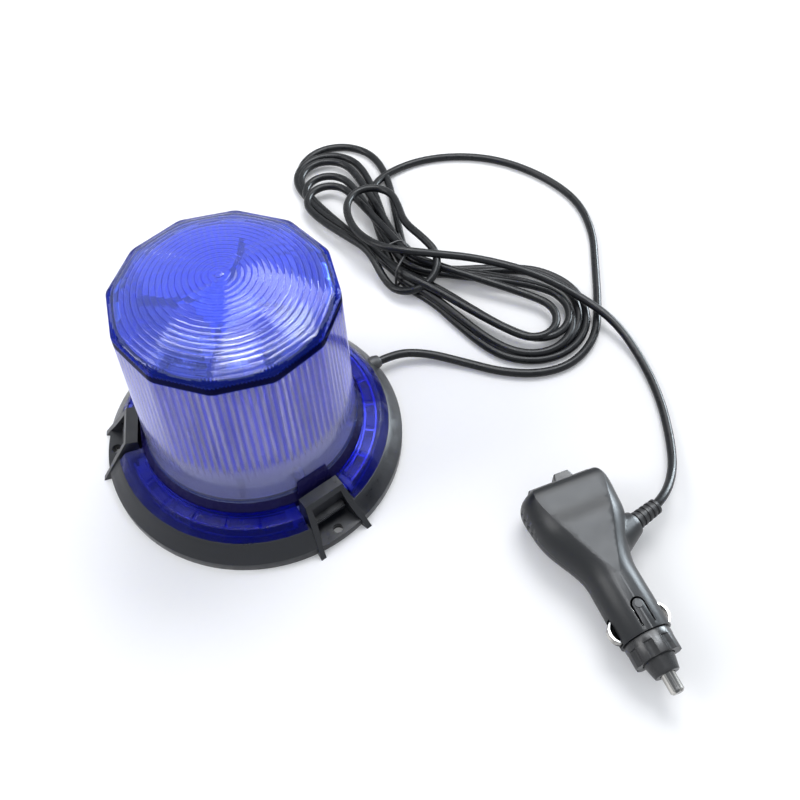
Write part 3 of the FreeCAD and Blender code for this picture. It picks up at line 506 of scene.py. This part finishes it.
def flange_look(name):
    """Deep blue ring whose windows are painted paler at random, a little more on the +X side, as painted
    reflections of the reflectors beneath.
    """
    look = Look(name, (0.03, 0.05, 0.55), 0.16, IOR=1.13, Specular_IOR_Level=0.3, Transmission_Weight=0.88)
    x, y, z = look.axes()
    window = look.tree.nodes.new("ShaderNodeTexWhiteNoise")
    window.noise_dimensions = "1D"
    turned = look.minus(look.math("ARCTAN2", y, x), radians(lug_angles[0]))
    look.link(look.math("FLOOR", look.times(turned, 1 / radians(window_turn))), window.inputs["W"])
    # Painted reflection: windows picked at random are paler, slightly more so on the +X side
    painted_reflection = look.times(look.math("POWER", window.outputs["Value"], 2.0), look.ramp(x, -0.03, 0.055, 0.45, 0.5))
    cloud = look.times(look.noise(130, 4.0), 0.06)
    look.vary("Base Color", look.plus(painted_reflection, cloud), (0.004, 0.016, 0.46), (0.40, 0.44, 0.85))
    look.vary("Roughness", look.noise(260, 5.0), 0.14, 0.26)
    look.bump(look.noise(350, 2.0), 0.00003, 0.2)
    return look


def painted_shade_blue(name):
    """Blue plastic painted nearly black, as painted shade of the step under the wall and of the bosses behind
    the lugs.
    """
    look = Look(name, (0.01, 0.009, 0.06), 0.25, Specular_IOR_Level=0.05)
    look.vary("Base Color", look.noise(120, 4.0), (0.006, 0.005, 0.04), (0.014, 0.012, 0.08))
    look.vary("Roughness", look.noise(300, 5.0), 0.2, 0.32)
    look.bump(look.noise(500, 3.0), 0.00003, 0.3)
    return look


def tower_look(name):
    """Chrome plating on ribbed plastic, with painted shade along the thin upper edges of the fins."""
    look = metal(name, (0.96, 0.96, 0.98), 0.13, (260, 260, 9), 0.0012)
    shine = look.shader.inputs["Base Color"].links[0].from_socket
    x, y, z = look.axes(look.stretched((1, 1, 1), fin_angle))
    # Painted shade: a dark line along each fin's thin upper edge
    off = look.math("MINIMUM", look.math("ABSOLUTE", x), look.math("ABSOLUTE", y))
    fin_edge_shade = look.times(look.ramp(off, 0.0013, 0.0009), look.ramp(look.reach(x, y), 0.008, 0.014))
    fin_edge_shade = look.times(fin_edge_shade, look.ramp(z, 0.086, 0.088))
    look.drive("Base Color", look.mix(fin_edge_shade, shine, (0.16, 0.16, 0.26)))
    return look


def contact_look(name):
    """Turned and plated contact metal, with painted reflections as light and dark streaks along the plug."""
    look = Look(name, (0.4, 0.39, 0.37), 0.22, Metallic=1.0)
    # Painted reflection: long light and dark streaks along the plug, whose pattern also gives a faint bump
    streaks_and_reflection = look.noise(1.0, 3.0, 0.6, look.stretched((15, 420, 420), plug_turn))
    look.vary("Base Color", look.ramp(streaks_and_reflection, 0.38, 0.62), (0.10, 0.10, 0.10), (0.62, 0.60, 0.56))
    look.vary("Roughness", look.noise(140, 5.0), 0.16, 0.30)
    look.bump(streaks_and_reflection, 0.00002, 0.3)
    return look


finishes = (
    moulded("housing_black", (0.006, 0.007, 0.010), (0.010, 0.011, 0.016), 0.34, Specular_IOR_Level=0.40),
    moulded("cover_black", (0.020, 0.020, 0.022), (0.030, 0.030, 0.032), 0.55),
    moulded("seal_rubber", (0.012, 0.012, 0.014), (0.022, 0.022, 0.024), 0.65),
    moulded("pad_rubber", (0.015, 0.015, 0.016), (0.026, 0.026, 0.028), 0.75, 1800, 0.00008),
    moulded("driver_ferrite", (0.03, 0.03, 0.035), (0.06, 0.06, 0.065), 0.6, 1500, 0.00006),
    moulded("grommet_rubber", (0.014, 0.014, 0.016), (0.024, 0.024, 0.027), 0.5),
    moulded("cord_pvc", (0.006, 0.0065, 0.008), (0.012, 0.013, 0.015), 0.30, 2500, 0.00002,
            Specular_IOR_Level=0.24),
    moulded("tie_wire", (0.010, 0.010, 0.012), (0.020, 0.020, 0.022), 0.4),
    moulded("plug_black", (0.009, 0.010, 0.012), (0.012, 0.013, 0.015), 0.36, 4200, 0.00002, 0.02,
            Specular_IOR_Level=0.34),
    moulded("relief_rubber", (0.010, 0.010, 0.012), (0.016, 0.016, 0.018), 0.42),
    moulded("switch_black", (0.011, 0.011, 0.012), (0.017, 0.017, 0.019), 0.4),
    moulded("knob_black", (0.010, 0.010, 0.011), (0.016, 0.016, 0.018), 0.36),
    moulded("cap_black", (0.009, 0.009, 0.010), (0.015, 0.015, 0.017), 0.32),
    metal("screw_steel", (0.62, 0.62, 0.60), 0.28),
    metal("magnet_nickel", (0.70, 0.68, 0.64), 0.22),
    metal("capacitor_can", (0.72, 0.73, 0.75), 0.25),
    metal("reflector_silver", (0.80, 0.81, 0.85), 0.20, (60, 60, 60)),
    metal("fuse_glass", (0.70, 0.70, 0.68), 0.2),
    metal("spring_steel", (0.60, 0.60, 0.60), 0.3),
    printed_board("circuit_board", (0.72, 0.73, 0.76), (0.82, 0.83, 0.85)),
    printed_board("strip_board", (0.75, 0.76, 0.80), (0.85, 0.86, 0.88)),
    led_look("led_chip"),
    blue_lens("lens_blue", 1.40, 0.32, (0.24, 0.33, 1.0)),
    blue_lens("lens_rim", 1.13, 0.06, (0.02, 0.06, 0.75)),
    flange_look("lens_flange"),
    painted_shade_blue("lens_boss"),
    tower_look("reflector_chrome"),
    contact_look("contact_nickel"),
)
looks = {look.name: look.mat for look in finishes}


def dress(piece, *slots):
    piece.data.materials.clear()
    for slot in slots:
        piece.data.materials.append(looks[slot])


# Lens: twelve-sided wall and ringed dome in one closed shell, with fluting inside the wall

# Outline of the step under the wall, outside and inside, as radius and height
step_outside = ((riser_r, lens_low), (riser_r, riser_z - 0.3), (riser_r - 0.15, riser_z + 0.2),
                (foot_r + 1.3, foot_z - 2.0), (foot_r + 0.35, foot_z - 0.4))
step_inside = ((foot_r - lens_wall, foot_z + 0.5), (riser_r - riser_wall, riser_z - 1.8),
               (riser_r - riser_wall, lens_low))
wall_heights = [foot_z + 0.6] + list(range(25, 95, 5)) + [band_low]
# Rounded edge of the rim, inwards and upwards from the rim
rim_outline = ((0.0, -0.9), (0.12, -0.35), (0.5, 0.05))
# Nub at the middle of the dome: radius, where the dome's height is taken, and height above it
nub_outline = ((nub_r + 0.05, nub_r, 0.0), (1.5, 1.5, 0.35), (0.9, 0.0, 0.5))
inner_dome_shares = (0.02, 0.2, 0.4, 0.6, 0.8, 0.93)
inner_rim_drop = 2.6
inner_wall_heights = (flute_high, 80, 66, 52, 44, 40, flute_low, 32)


def rim_radius(angle):
    """Twelve-sided outline with rounded corners."""
    step = 2 * pi / rim_sides
    apothem = rim_r * cos(step / 2)
    off = angle % step - step / 2
    straight = apothem - rim_corner_r
    if abs(off) <= atan2(straight * tan(step / 2), apothem):
        return apothem / cos(off)
    middle = straight / cos(step / 2)
    turn = step / 2 - abs(off)
    return middle * cos(turn) + sqrt(rim_corner_r ** 2 - (middle * sin(turn)) ** 2)


def wall_radius(angle, z):
    """Outside of the wall, round at its foot and twelve-sided at the rim."""
    share = min(max((z - foot_z) / (rim_z - foot_z), 0.0), 1.0)
    return foot_r + (rim_radius(angle) - foot_r) * share


def dome_height(r):
    ball = (rim_r ** 2 + dome_rise ** 2) / (2 * dome_rise)
    return rim_z + dome_rise - ball + sqrt(ball ** 2 - min(r, rim_r) ** 2)


def lens_outside(angle):
    """Outline at one angle, up the outside and over the rings of the dome to its middle."""
    rim = rim_radius(angle)
    points = list(step_outside)
    points += [(wall_radius(angle, z), z) for z in wall_heights]
    points += [(rim - inwards, rim_z + rise) for inwards, rise in rim_outline]
    for k in range(ring_count):
        r = rim_r - dome_edge - ring_pitch * k
        morph = 1 + (rim / rim_r - 1) * (r / rim_r) ** 6
        for off, down in ring_profile:
            here = r - ring_pitch * off
            points.append((here * morph, dome_height(here) - down))
    points += [(r, dome_height(at) + rise) for r, at, rise in nub_outline]
    return points


def lens_inside(angle, flute):
    """Outline at one angle, from the middle of the dome down the fluted inside."""
    inner = rim_radius(angle) - lens_wall
    points = [(inner * share, dome_height(inner * share) - lens_wall) for share in inner_dome_shares]
    points.append((inner, rim_z - inner_rim_drop))
    for z in inner_wall_heights:
        depth = flute_depth * min(max((z - flute_low) / flute_fade, 0.0), 1.0)
        points.append((wall_radius(angle, z) - lens_wall - depth * flute, z))
    return points + list(step_inside)


def lens_shell():
    bm = bmesh.new()
    around = flute_count * flute_samples
    outer_count = len(lens_outside(0.0))
    columns = []
    for k in range(around):
        angle = 2 * pi * k / around
        phase = (k % flute_samples) / flute_samples
        flute = 1 - abs(2 * phase - 1)
        outline = lens_outside(angle) + lens_inside(angle, flute)
        columns.append([bm.verts.new((r * cos(angle), r * sin(angle), z)) for r, z in outline])
    for k in range(around):
        a, b = columns[k], columns[(k + 1) % around]
        for i in range(len(a)):
            j = (i + 1) % len(a)
            if j != outer_count:
                bm.faces.new((a[i], b[i], b[j], a[j]))
    bm.faces.new([column[outer_count - 1] for column in columns])
    bm.faces.new([column[outer_count] for column in reversed(columns)])
    return mesh_piece("lens_moulding", bm, 28)


# Flange of the lens in three stretches between the lugs, scored into windows

# Outline of the flange: radius, height, and one where the score lines cut it
flange_outline = ((59.0, 12.05, 0), (58.9, 12.6, 1), (56.0, 16.5, 0), (55.4, 17.0, 1), (54.6, 17.15, 1),
                  (51.5, 17.55, 1), (48.6, 17.95, 1), (48.2, 17.9, 1), (48.2, 15.9, 0), (51.5, 15.3, 0),
                  (54.2, 14.8, 0), (56.6, 12.05, 0))
score_half = 0.45
score_depth = 0.45
notch_turn = 14.8
notch_half, notch_spread = 10.6, 0.1
# Places in each window, from its score line: degrees, and how deep the line is there
window_stops = ((-score_half, 0.0), (0.0, 1.0), (score_half, 0.0), (5.0, 0.0), (10.0, 0.0))


def notch_angle(r):
    """Half the angle that a lug's notch takes at this distance from the axis."""
    return degrees(asin((notch_half + notch_spread * (r - riser_r)) / r))


def flange_stretch(name, start):
    bm = bmesh.new()
    end = start + lug_step
    loops = [[polar(r, start + notch_angle(r), z) for r, z, cut in flange_outline]]
    for k in range(1, round(lug_step / window_turn)):
        for turn, score in window_stops:
            angle = start + window_turn * k + turn
            if start + notch_turn < angle < end - notch_turn:
                loops.append([polar(r, angle, z - score * score_depth * cut) for r, z, cut in flange_outline])
    loops.append([polar(r, end - notch_angle(r), z) for r, z, cut in flange_outline])
    rows = [[bm.verts.new(point) for point in loop] for loop in loops]
    count = len(flange_outline)
    for a, b in zip(rows, rows[1:]):
        for i in range(count):
            j = (i + 1) % count
            bm.faces.new((a[i], b[i], b[j], a[j]))
    bm.faces.new(rows[0])
    bm.faces.new(rows[-1][::-1])
    return mesh_piece(name, bm, 25)


# Bosses on the wall behind the lugs: inner and outer reach and half width, at the foot and at the top
boss_foot, boss_top = (45.2, 48.05, 8.8), (45.0, 45.6, 7.0)
boss_low, boss_high = 14.2, 28.0
boss_edge = 0.5


def boss_piece(name, angle):
    """Tapered block with rounded edges."""
    bm = bmesh.new()
    corners = []
    for (near, far, half), z in ((boss_foot, boss_low), (boss_top, boss_high)):
        places = ((near, -half, z), (far, -half, z), (far, half, z), (near, half, z))
        corners.append([bm.verts.new(place) for place in places])
    low, high = corners
    bm.faces.new(low[::-1])
    bm.faces.new(high)
    for i in range(len(low)):
        j = (i + 1) % len(low)
        bm.faces.new((low[i], low[j], high[j], high[i]))
    bmesh.ops.bevel(bm, geom=bm.edges[:], offset=boss_edge, segments=3, profile=0.6, affect="EDGES")
    bmesh.ops.rotate(bm, verts=bm.verts, matrix=Matrix.Rotation(radians(angle), 3, "Z"))
    return mesh_piece(name, bm, 35)


# The moulding's step is painted nearly black as painted shade, and the edge of its rim is a deeper blue
moulding = lens_shell()
dress(moulding, "lens_blue", "lens_boss", "lens_rim")
for face in moulding.data.polygons:
    if face.center.z < foot_z * MM:
        face.material_index = 1
    elif face.center.z > band_low * MM and face.center.xy.length > (rim_r - rim_edge) * MM:
        face.material_index = 2

lens_pieces = [moulding]
for number, angle in enumerate(lug_angles, 1):
    flange = flange_stretch("lens_flange_%d" % number, angle)
    dress(flange, "lens_flange")
    boss = boss_piece("lens_boss_%d" % number, angle)
    dress(boss, "lens_boss")
    lens_pieces += [flange, boss]
for piece in lens_pieces:
    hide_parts("lens")


# Twist tie round the hank

band_d, end_d = 1.3, 1.1
band_points = 24
band_start = 0.9
band_half_width, band_half_height, band_middle = 9.4, 7.4, 7.8
band_floor = 0.75
# Each end's points: place across the bundle from the tie, then along X, Y and Z
tie_ends = (((6.5, -0.5, -1.0, 16.0), (8.5, -3.0, -2.0, 17.5), (11, -6.0, -1.0, 18.0), (14, -8.5, 0.5, 17.6)),
            ((5.5, 1.0, 0, 16.0), (8.0, -4.0, 1.5, 18.2), (9, -9.0, -1.5, 18.4), (8, -13.0, -3.0, 17.6)))


def band_point(k):
    """A point of the band, which is a rectangle with well rounded corners, flattened by the floor."""
    a = 2 * pi * k / band_points + band_start
    square = (abs(cos(a)) ** 4 + abs(sin(a)) ** 4) ** -0.25
    height = max(band_floor, band_middle + band_half_height * sin(a) * square)
    return tie + across * (band_half_width * cos(a) * square) + up(height)


tie_pieces = [curve_piece("tie_band", [band_point(k) for k in range(band_points + 1)], band_d)]
for number, places in enumerate(tie_ends, 1):
    points = [tie + across * side + Vector(place) for side, *place in places]
    tie_pieces.append(curve_piece("tie_end_%d" % number, points, end_d))
for piece in tie_pieces:
    dress(piece, "tie_wire")
    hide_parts("twist_tie")
dress(cord, "cord_pvc")


# Finishes and softened edges of the pieces kept from the CAD model

replaced = {"cord_lead", "cord_hank", "cord_tail", "twist_tie", "lens"}
rounded = {"base_housing": 0.5, "plug_upper_shell": 0.35, "plug_lower_shell": 0.35, "switch_plate": 0.4,
           "switch_knob": 0.5, "nose_cap": 0.4, "contact_collar": 0.3, "tip_contact": 0.35,
           "strain_relief": 0.2, "cord_grommet": 0.3}
weld_gap = 0.02
soften_angle = 35


def soften_edges(node, width):
    weld = node.modifiers.new("weld", "WELD")
    weld.merge_threshold = weld_gap * MM
    soften = node.modifiers.new("soften", "BEVEL")
    soften.width = width * MM
    soften.segments = 2
    soften.limit_method = "ANGLE"
    soften.angle_limit = radians(soften_angle)


for name, node in nodes.items():
    if name in replaced:
        continue
    slot = node.data.materials[0].name.split(".")[0]
    for place in node.material_slots:
        place.material = looks[slot]
    if name in rounded:
        soften_edges(node, rounded[name])
